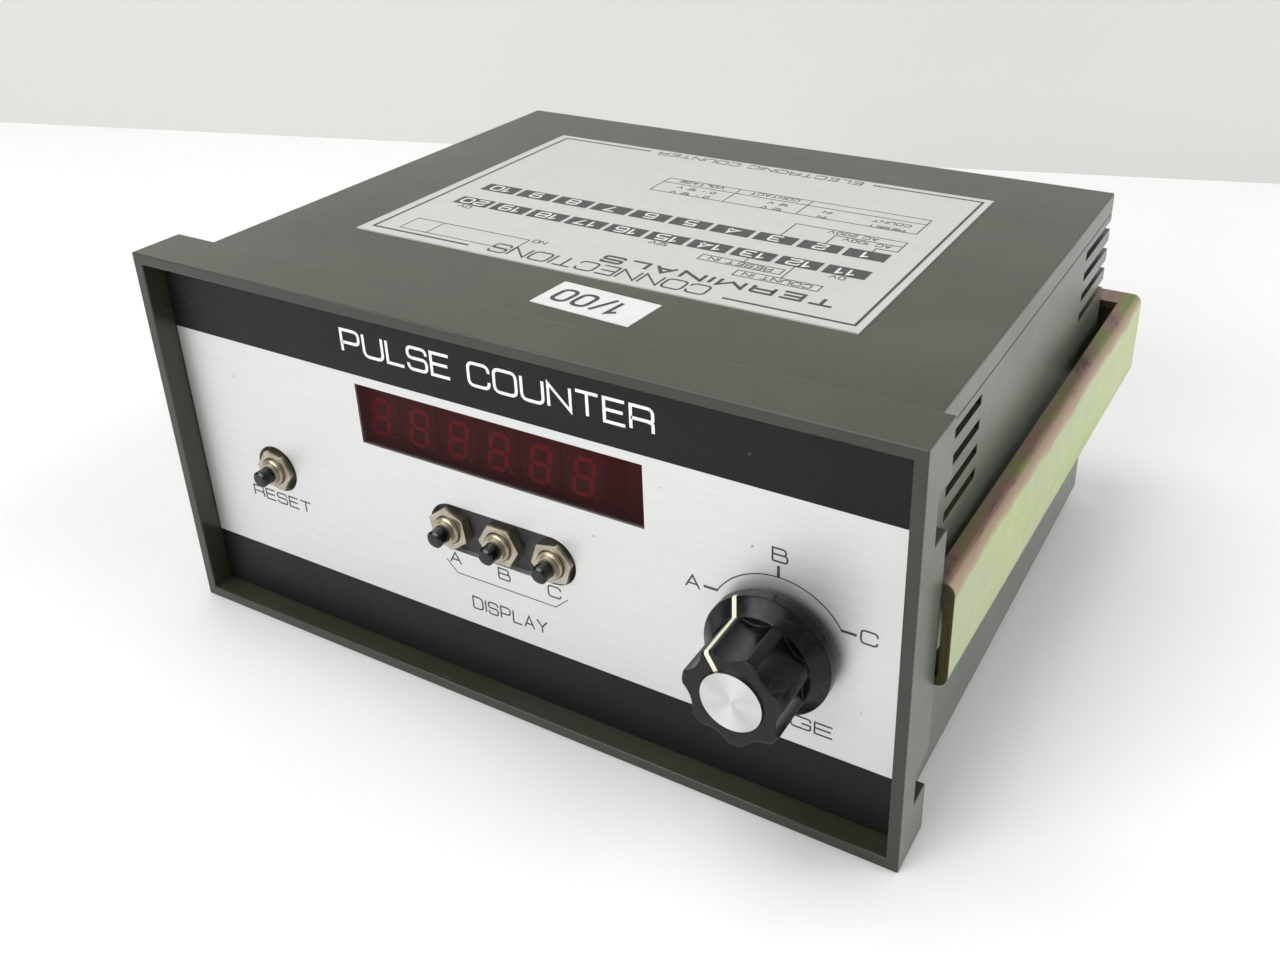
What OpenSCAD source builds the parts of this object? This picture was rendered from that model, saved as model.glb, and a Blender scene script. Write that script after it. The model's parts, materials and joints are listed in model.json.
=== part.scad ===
// Panel-mounting electronic counter in a 144 x 72 mm moulded case.
// Bezel with a recessed printed front plate, LED display, four push buttons, rotary range
// switch, terminal block at the rear and two sliding panel-clamp brackets.
// Frame: X to the right, Y to the rear, Z up. Origin: centre of the base of the bounding box.

/* [Case and bezel] */
// Bezel width across the front
bezel_w = 144; // [142:0.5:146]
// Bezel height
bezel_h = 72; // [71:0.5:74]
// Bezel depth from the lip to the face that meets the panel
bezel_d = 10; // [9:0.5:12]
// Thickness of the bezel lip around the front plate
lip_t = 2; // [1.5:0.25:3]
// Depth of the front plate below the lip
plate_recess = 4; // [3:0.25:4.5]
// Case width behind the bezel, for a 138 mm panel cut-out
case_w = 137.8; // [136:0.2:138]
// Case height behind the bezel, for a 68 mm panel cut-out
case_h = 67; // [66:0.2:68]
// Case depth behind the bezel
case_d = 104; // [100:1:120]
// Case wall thickness
wall_t = 2; // [1.6:0.2:2.4]
// Height of the cover's side strip above the seam
cover_side_h = 4.1; // [3.5:0.1:4.2]

/* [Side vents] */
// Slots in each group
vent_count = 4; // [2:1:4]
// Slot height
vent_h = 1.7; // [1:0.1:2]
// Slot spacing
vent_pitch = 4.15; // [3:0.05:4.5]
// Height of the top slot above the case centre line
vent_top_z = 27; // [26:0.25:27.5]
// Length of the front slots
vent_front_len = 14; // [8:1:20]
// Length of the rear slots along the side
vent_rear_len = 19.5; // [10:0.5:30]

/* [Front plate] */
// Front plate thickness
plate_t = 1; // [0.8:0.1:1.2]
// Display window width
window_w = 55.6; // [50:0.2:58]
// Display window height
window_h = 11.2; // [10:0.2:13]
// Display window centre above the bezel centre line
window_z = 13.75; // [13:0.25:15]
// Height of the button row relative to the bezel centre line
button_z = -3.5; // [-4.5:0.25:-3]
// Reset button distance to the left of centre
reset_x = 50.3; // [46:0.1:54]
// Spacing of the three display buttons
button_pitch = 10.45; // [10:0.05:12]
// Radius of the reset opening and half height of the display button slot
button_hole_r = 4.55; // [4.4:0.05:5]

/* [Buttons] */
// Button cap radius
cap_r = 1.55; // [1.4:0.05:1.7]
// Button travel
button_travel = 1.5; // [0.5:0.1:2]
// Switch nut width across flats
nut_af = 7; // [6.5:0.1:7.4]

/* [Range knob] */
// Knob axis distance to the right of centre
knob_x = 50; // [46:0.5:52]
// Knob axis relative to the bezel centre line
knob_z = -4.4; // [-6:0.2:-3]
// Knob skirt radius
skirt_r = 10.2; // [9:0.1:12]
// Radius of the knob's gripping lobes
grip_r = 8.05; // [7:0.05:8.5]
// Number of finger scallops
scallop_count = 7; // [6:1:8]
// Knob face distance in front of the bezel lip
knob_reach = 10.3; // [9:0.1:12]
// Radius of the metal disc in the knob face
disc_r = 4.8; // [4:0.1:5.2]
// Pointer angle from vertical as stored, positive to the right
pointer_angle = -30; // [-60:30:60]

/* [Clamp brackets] */
// Sheet thickness of the bracket
bracket_t = 1.5; // [1.2:0.1:1.6]
// Outer face of the bracket from the centre plane, at its rear corner
bracket_x = 75.6; // [74.8:0.1:76]
// Angle by which the bracket's front end leans in towards the case
bracket_lean = 0.9; // [0:0.1:1]
// Width of the bracket's top and bottom flanges
bracket_flange_w = 3.6; // [3:0.1:4.5]
// Bottom edge of the bracket relative to the case centre line
bracket_z0 = -8.2; // [-9:0.2:-7]
// Top edge of the bracket relative to the case centre line
bracket_z1 = 9.6; // [9:0.2:11]
// Clear distance from the bracket's tip to the bezel
bracket_gap = 0.3; // [0.3:0.1:1]
// Distance the bracket runs past the rear of the case
bracket_over = 10.5; // [10:0.5:14]

/* [Terminals] */
// Terminals in each of the two rows
terminal_count = 10; // [6:1:10]
// Terminal spacing
terminal_pitch = 10.8; // [9:0.2:11]

/* [Inside] */
// Circuit board thickness
board_t = 1.6; // [1:0.1:2]
// Number of display digits
digit_count = 6; // [4:1:6]
// Digit spacing
digit_pitch = 8.15; // [8:0.05:9]

/* [Hidden] */
$fn = 64;
eps = 1;
fit = 0.1;
run = 0.05;
half_w = case_w / 2;
half_h = case_h / 2;
inner_w = half_w - wall_t;
inner_h = half_h - wall_t;
seam_z = half_h - cover_side_h;
plate_y = plate_recess;
plate_back = plate_y + plate_t;
sub_t = 1.2;
case_y0 = plate_back + sub_t;
case_y1 = bezel_d + case_d;
rear_t = 2;
vent_front_y = 18.3;
// locating notches in the bezel's sides, as [bottom, top]
notch_y = 5.2;
notch_zs = [[18.6, 26.4], [-27, -21]];
// openings in the front plate
slot_inset = 0.35;
rotary_hole_r = 5;
window_set = 0.3;
window_flange = 2;
// screw bosses at the rear of the case
boss_len = 10;
top_boss = 4.5;
low_boss_w = 4;
low_boss_h = 3.2;
pilot_r = 1.45;
clear_r = 1.6;
thread_r = 1.4;
case_head_r = 2.8;
case_head_t = 2;
cross_w = 0.7;
cross_reach = 2;
// cooling slots in the case floor
floor_slot_count = 8;
floor_slot_pitch = 13;
floor_slot_w = 2;
floor_slot_len = 16;
floor_slot_ys = [36, 66];
// rear panel
guide_len = 6;
guide_r = 3.2;
rear_vent_x = 58;
// button row
button_xs = [-reset_x, -button_pitch, 0, button_pitch];
nose_y = 1.6;
cap_clear = 0.7;
cap_front = nose_y - button_travel - cap_clear;
nut_t = 2;
bush_r = 2.5;
nose_r = 2.05;
bush_y = 2.3;
bush_collar_r = 3.4;
bush_back = case_y0 + 0.8;
switch_back = 14;
switch_half = 4;
cavity_r = 2.4;
cavity_y0 = 8.2;
cavity_y1 = 13.2;
stop_y = cavity_y0 + run;
stop_t = 0.9;
stop_r = 2.2;
spring_r = 1.9;
spring_wire = 0.3;
spring_turns = 5;
// rotary switch
shaft_r = 3;
rbush_r = 4.5;
rbush_y = 1;
rnut_t = 1.8;
rnut_af = 12;
rbody_half = 13;
rbody_y1 = 21;
rbush_seat = 3;
// knob
knob_back = 2;
knob_face = -knob_reach;
skirt_edge_y = 0.2;
grip_back = -1.85;
knob_edge = 0.3;
disc_depth = 1;
disc_proud = 0.4;
pointer_w = 0.8;
pointer_d = 0.4;
scallop_r = 4.9;
scallop_depth = 1.25;
knob_hollow_r = 7.4;
knob_hollow_y = -0.6;
shaft_seat = 2;
set_screw_y = -5;
set_screw_r = 1.45;
set_screw_len = 3;
set_screw_hex_r = 0.7;
screw_angle = pointer_angle + 180;
// brackets and clamp screws
bracket_y0 = bezel_d + bracket_gap;
bracket_y1 = case_y1 + bracket_over;
bracket_fold = 1.8;
bracket_mid = (bracket_z0 + bracket_z1) / 2;
tab_x = 60;
tab_len = 7.5;
clamp_x = 63.5;
clamp_r = 1.95;
clamp_head_r = 3.6;
clamp_head_t = 2.4;
clamp_tip = 107;
clamp_hole_r = 2.2;
clamp_slot_w = 1;
clamp_collar_r = 3.1;
clamp_collar_t = 0.8;
clamp_play = 0.1;
// inside
board_z = -24;
board_top = board_z + board_t;
board_y0 = 16;
board_y1 = 104;
board_hx = 62;
display_board_y = 12.6;
digit_face_y = 6.5;
digit_x0 = -25.2;
digit_z = 12.4;
digit_w = 7.9;
digit_h = 12.6;
display_board_hx = 36;
display_board_z = [2.8, 26];
spacer_x = 32.6;
spacer_zs = [6, 23];
spacer_r = 2.2;
spacer_pin_r = 1.05;
switch_board_x = [-58, 30];
switch_board_z = [-12, 2.4];
link_x = [-25, 15];
link_t = 3;
link_top = -10;
standoff_r = 3;
board_head_r = 2.6;
board_head_t = 1.8;
// transformer, heights from the board's top
core_x = [-58, -14];
core_y = [70, 92];
core_h = 38;
core_gap_z = [7, 31];
core_gap_xs = [[-51, -43], [-29, -21]];
coil_y = [63, 99];
// smoothing capacitors, as [x, y, radius, height]
cans = [[8, 86, 8, 28], [28, 86, 6.3, 22], [44, 88, 5, 14]];
// logic chips
chip_cols = 4;
chip_x0 = -42;
chip_pitch = 24;
chip_rows = [34, 46, 58];
chip_half = [9.5, 3.2];
chip_lift = 0.8;
chip_t = 3.2;
lead_hx = 8.8;
lead_y = 3.4;
lead_t = 0.5;
lead_h = 2.6;
// fuse
fuse_x = 24;
fuse_y = 71.5;
fuse_h = 6;
fuse_r = 2.6;
fuse_len = 20;
clip_xs = [25.5, 38.5];
clip_w = 4;
clip_hy = 3.6;
clip_h = 8;
post_x = 56;
post_ys = [22, 98];
screw_x = [62.4, 54];
screw_z = [-28.4, 27.5];
// terminals
term_y = 118;
term_back = 110.5;
row_z = 7.6;
barrier_h = 3.2;
barrier_t = 1.4;
block_lip = 1.4;
block_flange = 2;
term_plate = [4.2, 5];
term_plate_t = 0.8;
term_thread_r = 1.6;
term_head_r = 3.3;
term_head_t = 2.1;
block_hx = terminal_count * terminal_pitch / 2 + 1.6;
block_hz = 15;
label_c = [-0.3, 64.8];
label_size = [99.9, 66.7];
label_t = 0.25;
sticker_c = [8.1, 22.9];
sticker_size = [19.3, 9.3];
sticker_t = 0.12;
sticker_turn = -3.5;
// frame shift: front of the knob disc to the rear of the clamp screw heads
y_front = knob_face - disc_proud;
y_rear = bracket_y1 + clamp_head_t;
y_mid = (y_front + y_rear) / 2;

// ---- helpers ----
// moves a piece from the drawing frame (bezel lip at y = 0, centre line at z = 0) to the part frame
module place() {
  translate([0, -y_mid, bezel_h / 2]) children();
}

// box given by its two corners
module span(a, b) {
  translate(a) cube(b - a);
}

// cylinder along Y from y0 to y1
module ycyl(x, z, y0, y1, r) {
  translate([x, y0, z]) rotate([-90, 0, 0]) cylinder(r = r, h = y1 - y0);
}

// hexagonal prism along Y
module yhex(x, z, y0, y1, af, turn) {
  translate([x, y0, z]) rotate([-90, 0, 0]) rotate([0, 0, turn])
    cylinder(r = af / sqrt(3), h = y1 - y0, $fn = 6);
}

// revolves a profile of [radius, y] points about the Y axis at x, z
module yrev(x, z, pts) {
  translate([x, 0, z]) rotate([-90, 0, 0]) rotate_extrude($fn = 96) polygon(pts);
}

// cross recess in a screw head that faces the rear
module cross_recess(x, z, y0, y1, reach, w) {
  span([x - reach, y0, z - w / 2], [x + reach, y1, z + w / 2]);
  span([x - w / 2, y0, z - reach], [x + w / 2, y1, z + reach]);
}

module both_sides() {
  children();
  mirror([1, 0, 0]) children();
}

module vent_slots(x0, x1, y0, y1) {
  for (i = [0:vent_count - 1])
    span([x0, y0, vent_top_z - i * vent_pitch - vent_h / 2],
      [x1, y1, vent_top_z - i * vent_pitch + vent_h / 2]);
}

// ---- case ----
module bezel_frame() {
  hole_w = bezel_w / 2 - lip_t;
  hole_h = bezel_h / 2 - lip_t;
  color([0.22, 0.23, 0.19]) place() difference() {
    span([-bezel_w / 2, 0, -bezel_h / 2], [bezel_w / 2, bezel_d, bezel_h / 2]);
    span([-hole_w, -eps, -hole_h], [hole_w, plate_back, hole_h]);
    span([-half_w, plate_back - eps, -half_h], [half_w, bezel_d + eps, half_h]);
    both_sides()
      for (n = notch_zs)
        span([half_w - eps, notch_y, n[0]], [bezel_w / 2 + eps, bezel_d + eps, n[1]]);
  }
}

module front_plate() {
  hw = bezel_w / 2 - lip_t - 2 * fit;
  hh = bezel_h / 2 - lip_t - 2 * fit;
  color([0.78, 0.78, 0.77]) place() difference() {
    span([-hw, plate_y, -hh], [hw, plate_back, hh]);
    span([-window_w / 2, plate_y - eps, window_z - window_h / 2],
      [window_w / 2, plate_back + eps, window_z + window_h / 2]);
    for (x = [-reset_x, -button_pitch + slot_inset, button_pitch - slot_inset])
      ycyl(x, button_z, plate_y - eps, plate_back + eps, button_hole_r);
    span([-button_pitch, plate_y - eps, button_z - button_hole_r],
      [button_pitch, plate_back + eps, button_z + button_hole_r]);
    ycyl(knob_x, knob_z, plate_y - eps, plate_back + eps, rotary_hole_r);
  }
}

module display_window() {
  color([0.2, 0.02, 0.03, 0.8]) place() union() {
    span([-window_w / 2 + fit, plate_y + window_set, window_z - window_h / 2 + fit],
      [window_w / 2 - fit, plate_back, window_z + window_h / 2 - fit]);
    span([-window_w / 2 - window_flange, plate_back, window_z - window_h / 2 - window_flange],
      [window_w / 2 + window_flange, case_y0, window_z + window_h / 2 + window_flange]);
  }
}

module sub_panel() {
  hw = half_w - 3 * fit;
  hh = half_h - 3 * fit;
  margin = window_flange + 2 * fit;
  color([0.06, 0.06, 0.06]) place() difference() {
    span([-hw, plate_back, -hh], [hw, case_y0, hh]);
    span([-window_w / 2 - margin, plate_back - eps, window_z - window_h / 2 - margin],
      [window_w / 2 + margin, case_y0 + eps, window_z + window_h / 2 + margin]);
    for (x = button_xs)
      ycyl(x, button_z, plate_back - eps, case_y0 + eps, bush_r + run);
    ycyl(knob_x, knob_z, plate_back - eps, case_y0 + eps, rbush_r + run);
  }
}

module top_cover() {
  color([0.22, 0.23, 0.19]) place() difference() {
    union() {
      span([-half_w, case_y0, inner_h], [half_w, case_y1, half_h]);
      both_sides() span([inner_w, case_y0, seam_z], [half_w, case_y1, inner_h + eps]);
      both_sides() span([screw_x[1] - top_boss, case_y1 - rear_t - boss_len, screw_z[1] - top_boss],
        [screw_x[1] + top_boss, case_y1 - rear_t, inner_h + eps]);
    }
    for (s = [-1, 1])
      ycyl(s * screw_x[1], screw_z[1], case_y1 - rear_t - boss_len - eps, case_y1 - rear_t + eps, pilot_r);
  }
}

module lower_case() {
  color([0.22, 0.23, 0.19]) place() difference() {
    union() {
      span([-half_w, case_y0, -half_h], [half_w, case_y1, -inner_h]);
      both_sides() span([inner_w, case_y0, -inner_h - eps], [half_w, case_y1, seam_z]);
      both_sides() span([screw_x[0] - low_boss_w, case_y1 - rear_t - boss_len, -inner_h - eps],
        [inner_w + eps, case_y1 - rear_t, screw_z[0] + low_boss_h]);
    }
    both_sides() vent_slots(inner_w - eps, half_w + eps, vent_front_y, vent_front_y + vent_front_len);
    both_sides() vent_slots(inner_w - eps, half_w + eps, case_y1 - vent_rear_len, case_y1 + eps);
    for (s = [-1, 1])
      ycyl(s * screw_x[0], screw_z[0], case_y1 - rear_t - boss_len - eps, case_y1 - rear_t + eps, pilot_r);
    for (i = [0:floor_slot_count - 1])
      for (y = floor_slot_ys)
        translate([(i - (floor_slot_count - 1) / 2) * floor_slot_pitch, 0, 0])
          span([-floor_slot_w / 2, y, -half_h - eps],
            [floor_slot_w / 2, y + floor_slot_len, -inner_h + eps]);
  }
}

module rear_panel() {
  hw = inner_w - fit;
  hh = inner_h - fit;
  y0 = case_y1 - rear_t;
  color([0.2, 0.21, 0.18]) place() difference() {
    union() {
      span([-hw, y0, -hh], [hw, case_y1, hh]);
      for (s = [-1, 1])
        ycyl(s * clamp_x, bracket_mid, y0 - guide_len, y0 + eps, guide_r);
    }
    both_sides() vent_slots(rear_vent_x, hw + eps, y0 - eps, case_y1 + eps);
    span([-block_hx - fit, y0 - eps, -block_hz - fit], [block_hx + fit, case_y1 + eps, block_hz + fit]);
    for (s = [-1, 1]) {
      ycyl(s * clamp_x, bracket_mid, y0 - guide_len - eps, case_y1 + eps, clamp_r + run);
      for (k = [0, 1])
        ycyl(s * screw_x[k], screw_z[k], y0 - eps, case_y1 + eps, clear_r);
    }
  }
}

module case_screws() {
  color([0.7, 0.68, 0.6]) place()
    for (s = [-1, 1])
      for (k = [0, 1])
        difference() {
          union() {
            ycyl(s * screw_x[k], screw_z[k], case_y1 - boss_len, case_y1 + case_head_t / 4, thread_r);
            ycyl(s * screw_x[k], screw_z[k], case_y1, case_y1 + case_head_t, case_head_r);
          }
          cross_recess(s * screw_x[k], screw_z[k], case_y1 + case_head_t / 2,
            case_y1 + case_head_t + eps, cross_reach, cross_w);
        }
}

module connection_label() {
  color([0.75, 0.75, 0.73]) place()
    translate([label_c[0] - label_size[0] / 2, label_c[1] - label_size[1] / 2, half_h])
      cube([label_size[0], label_size[1], label_t]);
}

module date_sticker() {
  color([0.92, 0.92, 0.9]) place()
    translate([sticker_c[0], sticker_c[1], half_h]) rotate([0, 0, sticker_turn])
      translate([-sticker_size[0] / 2, -sticker_size[1] / 2, 0])
        cube([sticker_size[0], sticker_size[1], sticker_t]);
}

// ---- display ----
module display_board() {
  color([0.1, 0.3, 0.16]) place() difference() {
    span([-display_board_hx, display_board_y, display_board_z[0]],
      [display_board_hx, display_board_y + board_t, display_board_z[1]]);
    for (s = [-1, 1])
      for (z = spacer_zs)
        ycyl(s * spacer_x, z, display_board_y - eps, display_board_y + board_t + eps, spacer_pin_r + run);
  }
}

module digit_modules() {
  color([0.12, 0.1, 0.1]) place()
    for (i = [0:digit_count - 1])
      translate([digit_x0 + i * digit_pitch, 0, digit_z])
        span([-digit_w / 2, digit_face_y, -digit_h / 2], [digit_w / 2, display_board_y, digit_h / 2]);
}

module display_spacers() {
  color([0.75, 0.72, 0.6]) place()
    for (s = [-1, 1])
      for (z = spacer_zs)
        union() {
          ycyl(s * spacer_x, z, case_y0, display_board_y, spacer_r);
          ycyl(s * spacer_x, z, case_y0, display_board_y + board_t + 1, spacer_pin_r);
        }
}

// ---- push switches ----
module switch_board() {
  color([0.1, 0.3, 0.16]) place()
    span([switch_board_x[0], switch_back, switch_board_z[0]],
      [switch_board_x[1], switch_back + board_t, switch_board_z[1]]);
}

module switch_housings() {
  color([0.07, 0.07, 0.08]) place()
    for (x = button_xs)
      difference() {
        span([x - switch_half, bush_back, button_z - switch_half],
          [x + switch_half, switch_back, button_z + switch_half]);
        ycyl(x, button_z, cavity_y0, cavity_y1, cavity_r);
        ycyl(x, button_z, bush_back - eps, cavity_y0 + eps, cap_r + run);
      }
}

module switch_bushings() {
  color([0.72, 0.7, 0.64]) place()
    for (x = button_xs)
      yrev(x, button_z, [[cap_r + run, bush_back], [bush_collar_r, bush_back],
        [bush_collar_r, case_y0], [bush_r, case_y0], [bush_r, bush_y + 0.2],
        [bush_r - 0.2, bush_y], [nose_r, bush_y], [nose_r, nose_y], [cap_r + run, nose_y]]);
}

module switch_nuts() {
  turns = [5, 22, 1, -11];
  color([0.74, 0.72, 0.66]) place()
    for (i = [0:len(button_xs) - 1])
      difference() {
        yhex(button_xs[i], button_z, plate_back - nut_t, plate_back, nut_af, turns[i]);
        ycyl(button_xs[i], button_z, plate_back - nut_t - eps, plate_back + eps, bush_r + run);
      }
}

module button(x) {
  color([0.05, 0.05, 0.06]) place()
    yrev(x, button_z, [[0, stop_y + stop_t], [stop_r, stop_y + stop_t], [stop_r, stop_y],
      [cap_r, stop_y], [cap_r, cap_front + 0.35], [cap_r - 0.35, cap_front + 0.06],
      [cap_r - 0.8, cap_front], [0, cap_front]]);
}

module button_reset() {
  button(button_xs[0]);
}

module button_a() {
  button(button_xs[1]);
}

module button_b() {
  button(button_xs[2]);
}

module button_c() {
  button(button_xs[3]);
}

// flat-wire return spring behind the plunger's stop flange
module spring(x) {
  y0 = stop_y + stop_t + run;
  len = cavity_y1 - run - y0;
  pitch = len / spring_turns;
  arc = 360 * spring_wire / pitch;
  steps = 5;
  color([0.7, 0.7, 0.7]) place() translate([x, y0, button_z]) rotate([-90, 0, 0])
    linear_extrude(height = len, twist = -360 * (len - spring_wire) / pitch, slices = 72, $fn = 4)
      polygon(concat(
        [for (i = [0:steps]) spring_r * [cos(arc * i / steps), sin(arc * i / steps)]],
        [for (i = [steps:-1:0])
          (spring_r - spring_wire) * [cos(arc * i / steps), sin(arc * i / steps)]]));
}

module spring_reset() {
  spring(button_xs[0]);
}

module spring_a() {
  spring(button_xs[1]);
}

module spring_b() {
  spring(button_xs[2]);
}

module spring_c() {
  spring(button_xs[3]);
}

// ---- rotary switch and knob ----
module rotary_housing() {
  color([0.35, 0.2, 0.1]) place() difference() {
    span([knob_x - rbody_half, case_y0, knob_z - rbody_half],
      [knob_x + rbody_half, rbody_y1, knob_z + rbody_half]);
    ycyl(knob_x, knob_z, case_y0 - eps, case_y0 + rbush_seat, rbush_r + run);
    ycyl(knob_x, knob_z, case_y0, rbody_y1 - 1.5, shaft_r + run);
  }
}

module rotary_bushing() {
  color([0.75, 0.66, 0.4]) place() difference() {
    ycyl(knob_x, knob_z, rbush_y, case_y0 + rbush_seat, rbush_r);
    ycyl(knob_x, knob_z, rbush_y - eps, case_y0 + rbush_seat + eps, shaft_r + run);
  }
}

module rotary_nut() {
  color([0.74, 0.72, 0.66]) place() difference() {
    yhex(knob_x, knob_z, plate_y - rnut_t, plate_y, rnut_af, 0);
    ycyl(knob_x, knob_z, plate_y - rnut_t - eps, plate_y + eps, rbush_r + run);
  }
}

module rotary_shaft() {
  color([0.72, 0.72, 0.72]) place()
    ycyl(knob_x, knob_z, knob_face + shaft_seat + fit, rbody_y1 - 2, shaft_r);
}

// outer shape of the knob, shrunk inwards by d, with finger scallops cut in the grip
module knob_shape(d) {
  k = d * 0.414;
  difference() {
    yrev(0, 0, [[0, knob_back], [skirt_r - d, knob_back], [skirt_r - d, skirt_edge_y + k],
      [grip_r - d, grip_back + k], [grip_r - d, knob_face + knob_edge + k],
      [grip_r - knob_edge - k, knob_face + d], [0, knob_face + d]]);
    for (i = [0:scallop_count - 1])
      rotate([0, pointer_angle + (i + 0.5) * 360 / scallop_count, 0])
        translate([0, 0, grip_r - scallop_depth - d + scallop_r])
          ycyl(0, 0, knob_face - eps, grip_back, scallop_r);
  }
}

// shallow band of the knob's surface that holds the pointer line
module pointer_band() {
  intersection() {
    difference() {
      knob_shape(0);
      knob_shape(pointer_d);
    }
    rotate([0, pointer_angle, 0])
      span([-pointer_w / 2, knob_face - eps, disc_r + 0.1],
        [pointer_w / 2, skirt_edge_y + 0.4, skirt_r + eps]);
  }
}

module knob_body() {
  color([0.04, 0.04, 0.04]) place() translate([knob_x, 0, knob_z]) difference() {
    knob_shape(0);
    pointer_band();
    ycyl(0, 0, knob_face - eps, knob_face + disc_depth, disc_r + run);
    ycyl(0, 0, knob_face + shaft_seat, knob_back + eps, shaft_r + run);
    ycyl(0, 0, knob_hollow_y, knob_back + eps, knob_hollow_r);
    rotate([0, screw_angle, 0]) translate([0, set_screw_y, 0])
      cylinder(r = set_screw_r + run, h = grip_r + eps);
  }
}

module knob_disc() {
  color([0.86, 0.86, 0.85]) place()
    ycyl(knob_x, knob_z, knob_face - disc_proud, knob_face + disc_depth, disc_r);
}

module knob_pointer() {
  color([0.86, 0.85, 0.74]) place() translate([knob_x, 0, knob_z]) pointer_band();
}

module knob_set_screw() {
  color([0.3, 0.28, 0.25]) place() translate([knob_x, 0, knob_z])
    rotate([0, screw_angle, 0]) translate([0, set_screw_y, 0]) difference() {
      translate([0, 0, shaft_r + run]) cylinder(r = set_screw_r, h = set_screw_len);
      translate([0, 0, shaft_r + set_screw_len / 2])
        cylinder(r = set_screw_hex_r, h = set_screw_len, $fn = 6);
    }
}

// ---- main board and what stands on it ----
module main_board() {
  color([0.12, 0.33, 0.18]) place() difference() {
    span([-board_hx, board_y0, board_z], [board_hx, board_y1, board_top]);
    for (s = [-1, 1])
      for (y = post_ys)
        translate([s * post_x, y, board_z - eps]) cylinder(r = clear_r, h = board_t + 2 * eps);
  }
}

module board_standoffs() {
  color([0.22, 0.23, 0.19]) place()
    for (s = [-1, 1])
      for (y = post_ys)
        translate([s * post_x, y, -inner_h]) difference() {
          cylinder(r = standoff_r, h = board_z + inner_h);
          translate([0, 0, standoff_r / 2]) cylinder(r = pilot_r, h = board_z + inner_h);
        }
}

module board_screws() {
  color([0.7, 0.68, 0.6]) place()
    for (s = [-1, 1])
      for (y = post_ys)
        translate([s * post_x, y, 0]) difference() {
          union() {
            translate([0, 0, board_top]) cylinder(r = board_head_r, h = board_head_t);
            translate([0, 0, board_top - 6.5]) cylinder(r = thread_r, h = 7);
          }
          translate([-cross_w / 2, -cross_reach, board_top + eps]) cube([cross_w, 2 * cross_reach, 2]);
          translate([-cross_reach, -cross_w / 2, board_top + eps]) cube([2 * cross_reach, cross_w, 2]);
        }
}

module board_link() {
  color([0.9, 0.88, 0.8]) place()
    span([link_x[0], switch_back + board_t, board_top], [link_x[1], switch_back + board_t + link_t, link_top]);
}

module transformer_core() {
  color([0.3, 0.31, 0.33]) place() difference() {
    span([core_x[0], core_y[0], board_top], [core_x[1], core_y[1], board_top + core_h]);
    for (g = core_gap_xs)
      span([g[0], core_y[0] - eps, board_top + core_gap_z[0]],
        [g[1], core_y[1] + eps, board_top + core_gap_z[1]]);
  }
}

module transformer_coil() {
  color([0.75, 0.6, 0.2]) place() difference() {
    span([core_gap_xs[0][0] + fit, coil_y[0], board_top + core_gap_z[0] + fit],
      [core_gap_xs[1][1] - fit, coil_y[1], board_top + core_gap_z[1] - fit]);
    span([core_gap_xs[0][1] - fit, core_y[0] - fit, board_top],
      [core_gap_xs[1][0] + fit, core_y[1] + fit, board_top + core_h + eps]);
  }
}

module capacitors() {
  color([0.12, 0.15, 0.35]) place()
    for (c = cans)
      translate([c[0], c[1], board_top]) cylinder(r = c[2], h = c[3]);
}

module logic_chips() {
  color([0.06, 0.06, 0.07]) place()
    for (i = [0:chip_cols - 1])
      for (y = chip_rows)
        translate([chip_x0 + i * chip_pitch, y, board_top]) {
          span([-chip_half[0], -chip_half[1], chip_lift], [chip_half[0], chip_half[1], chip_lift + chip_t]);
          for (s = [-1, 1])
            span([-lead_hx, s * lead_y - lead_t / 2, 0], [lead_hx, s * lead_y + lead_t / 2, lead_h]);
        }
}

module fuse_tube() {
  color([0.85, 0.87, 0.88, 0.6]) place()
    translate([fuse_x, fuse_y, board_top + fuse_h]) rotate([0, 90, 0]) cylinder(r = fuse_r, h = fuse_len);
}

module fuse_clips() {
  color([0.75, 0.72, 0.6]) place()
    for (x = clip_xs)
      difference() {
        span([x, fuse_y - clip_hy, board_top], [x + clip_w, fuse_y + clip_hy, board_top + clip_h]);
        translate([x - eps, fuse_y, board_top + fuse_h]) rotate([0, 90, 0])
          cylinder(r = fuse_r + run, h = clip_w + 2 * eps);
      }
}

// ---- rear terminals ----
function term_x(i) = (i - (terminal_count - 1) / 2) * terminal_pitch;

module terminal_block() {
  color([0.08, 0.08, 0.08]) place() difference() {
    union() {
      span([-block_hx, term_back, -block_hz], [block_hx, term_y, block_hz]);
      span([-block_hx - block_lip, term_back, -block_hz - block_flange],
        [block_hx + block_lip, case_y1 - rear_t, block_hz + block_flange]);
      span([-block_hx, term_y - eps, -barrier_t / 2], [block_hx, term_y + barrier_h, barrier_t / 2]);
      for (i = [0:terminal_count])
        translate([(i - terminal_count / 2) * terminal_pitch, 0, 0])
          span([-barrier_t / 2, term_y - eps, -block_hz], [barrier_t / 2, term_y + barrier_h, block_hz]);
    }
    for (i = [0:terminal_count - 1])
      for (s = [-1, 1])
        ycyl(term_x(i), s * row_z, term_y - 6.5, term_y + eps, term_thread_r + run);
  }
}

module terminal_plates() {
  color([0.78, 0.75, 0.6]) place()
    for (i = [0:terminal_count - 1])
      for (s = [-1, 1])
        difference() {
          span([term_x(i) - term_plate[0], term_y, s * row_z - term_plate[1]],
            [term_x(i) + term_plate[0], term_y + term_plate_t, s * row_z + term_plate[1]]);
          ycyl(term_x(i), s * row_z, term_y - eps, term_y + 2, term_thread_r + fit);
        }
}

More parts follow.
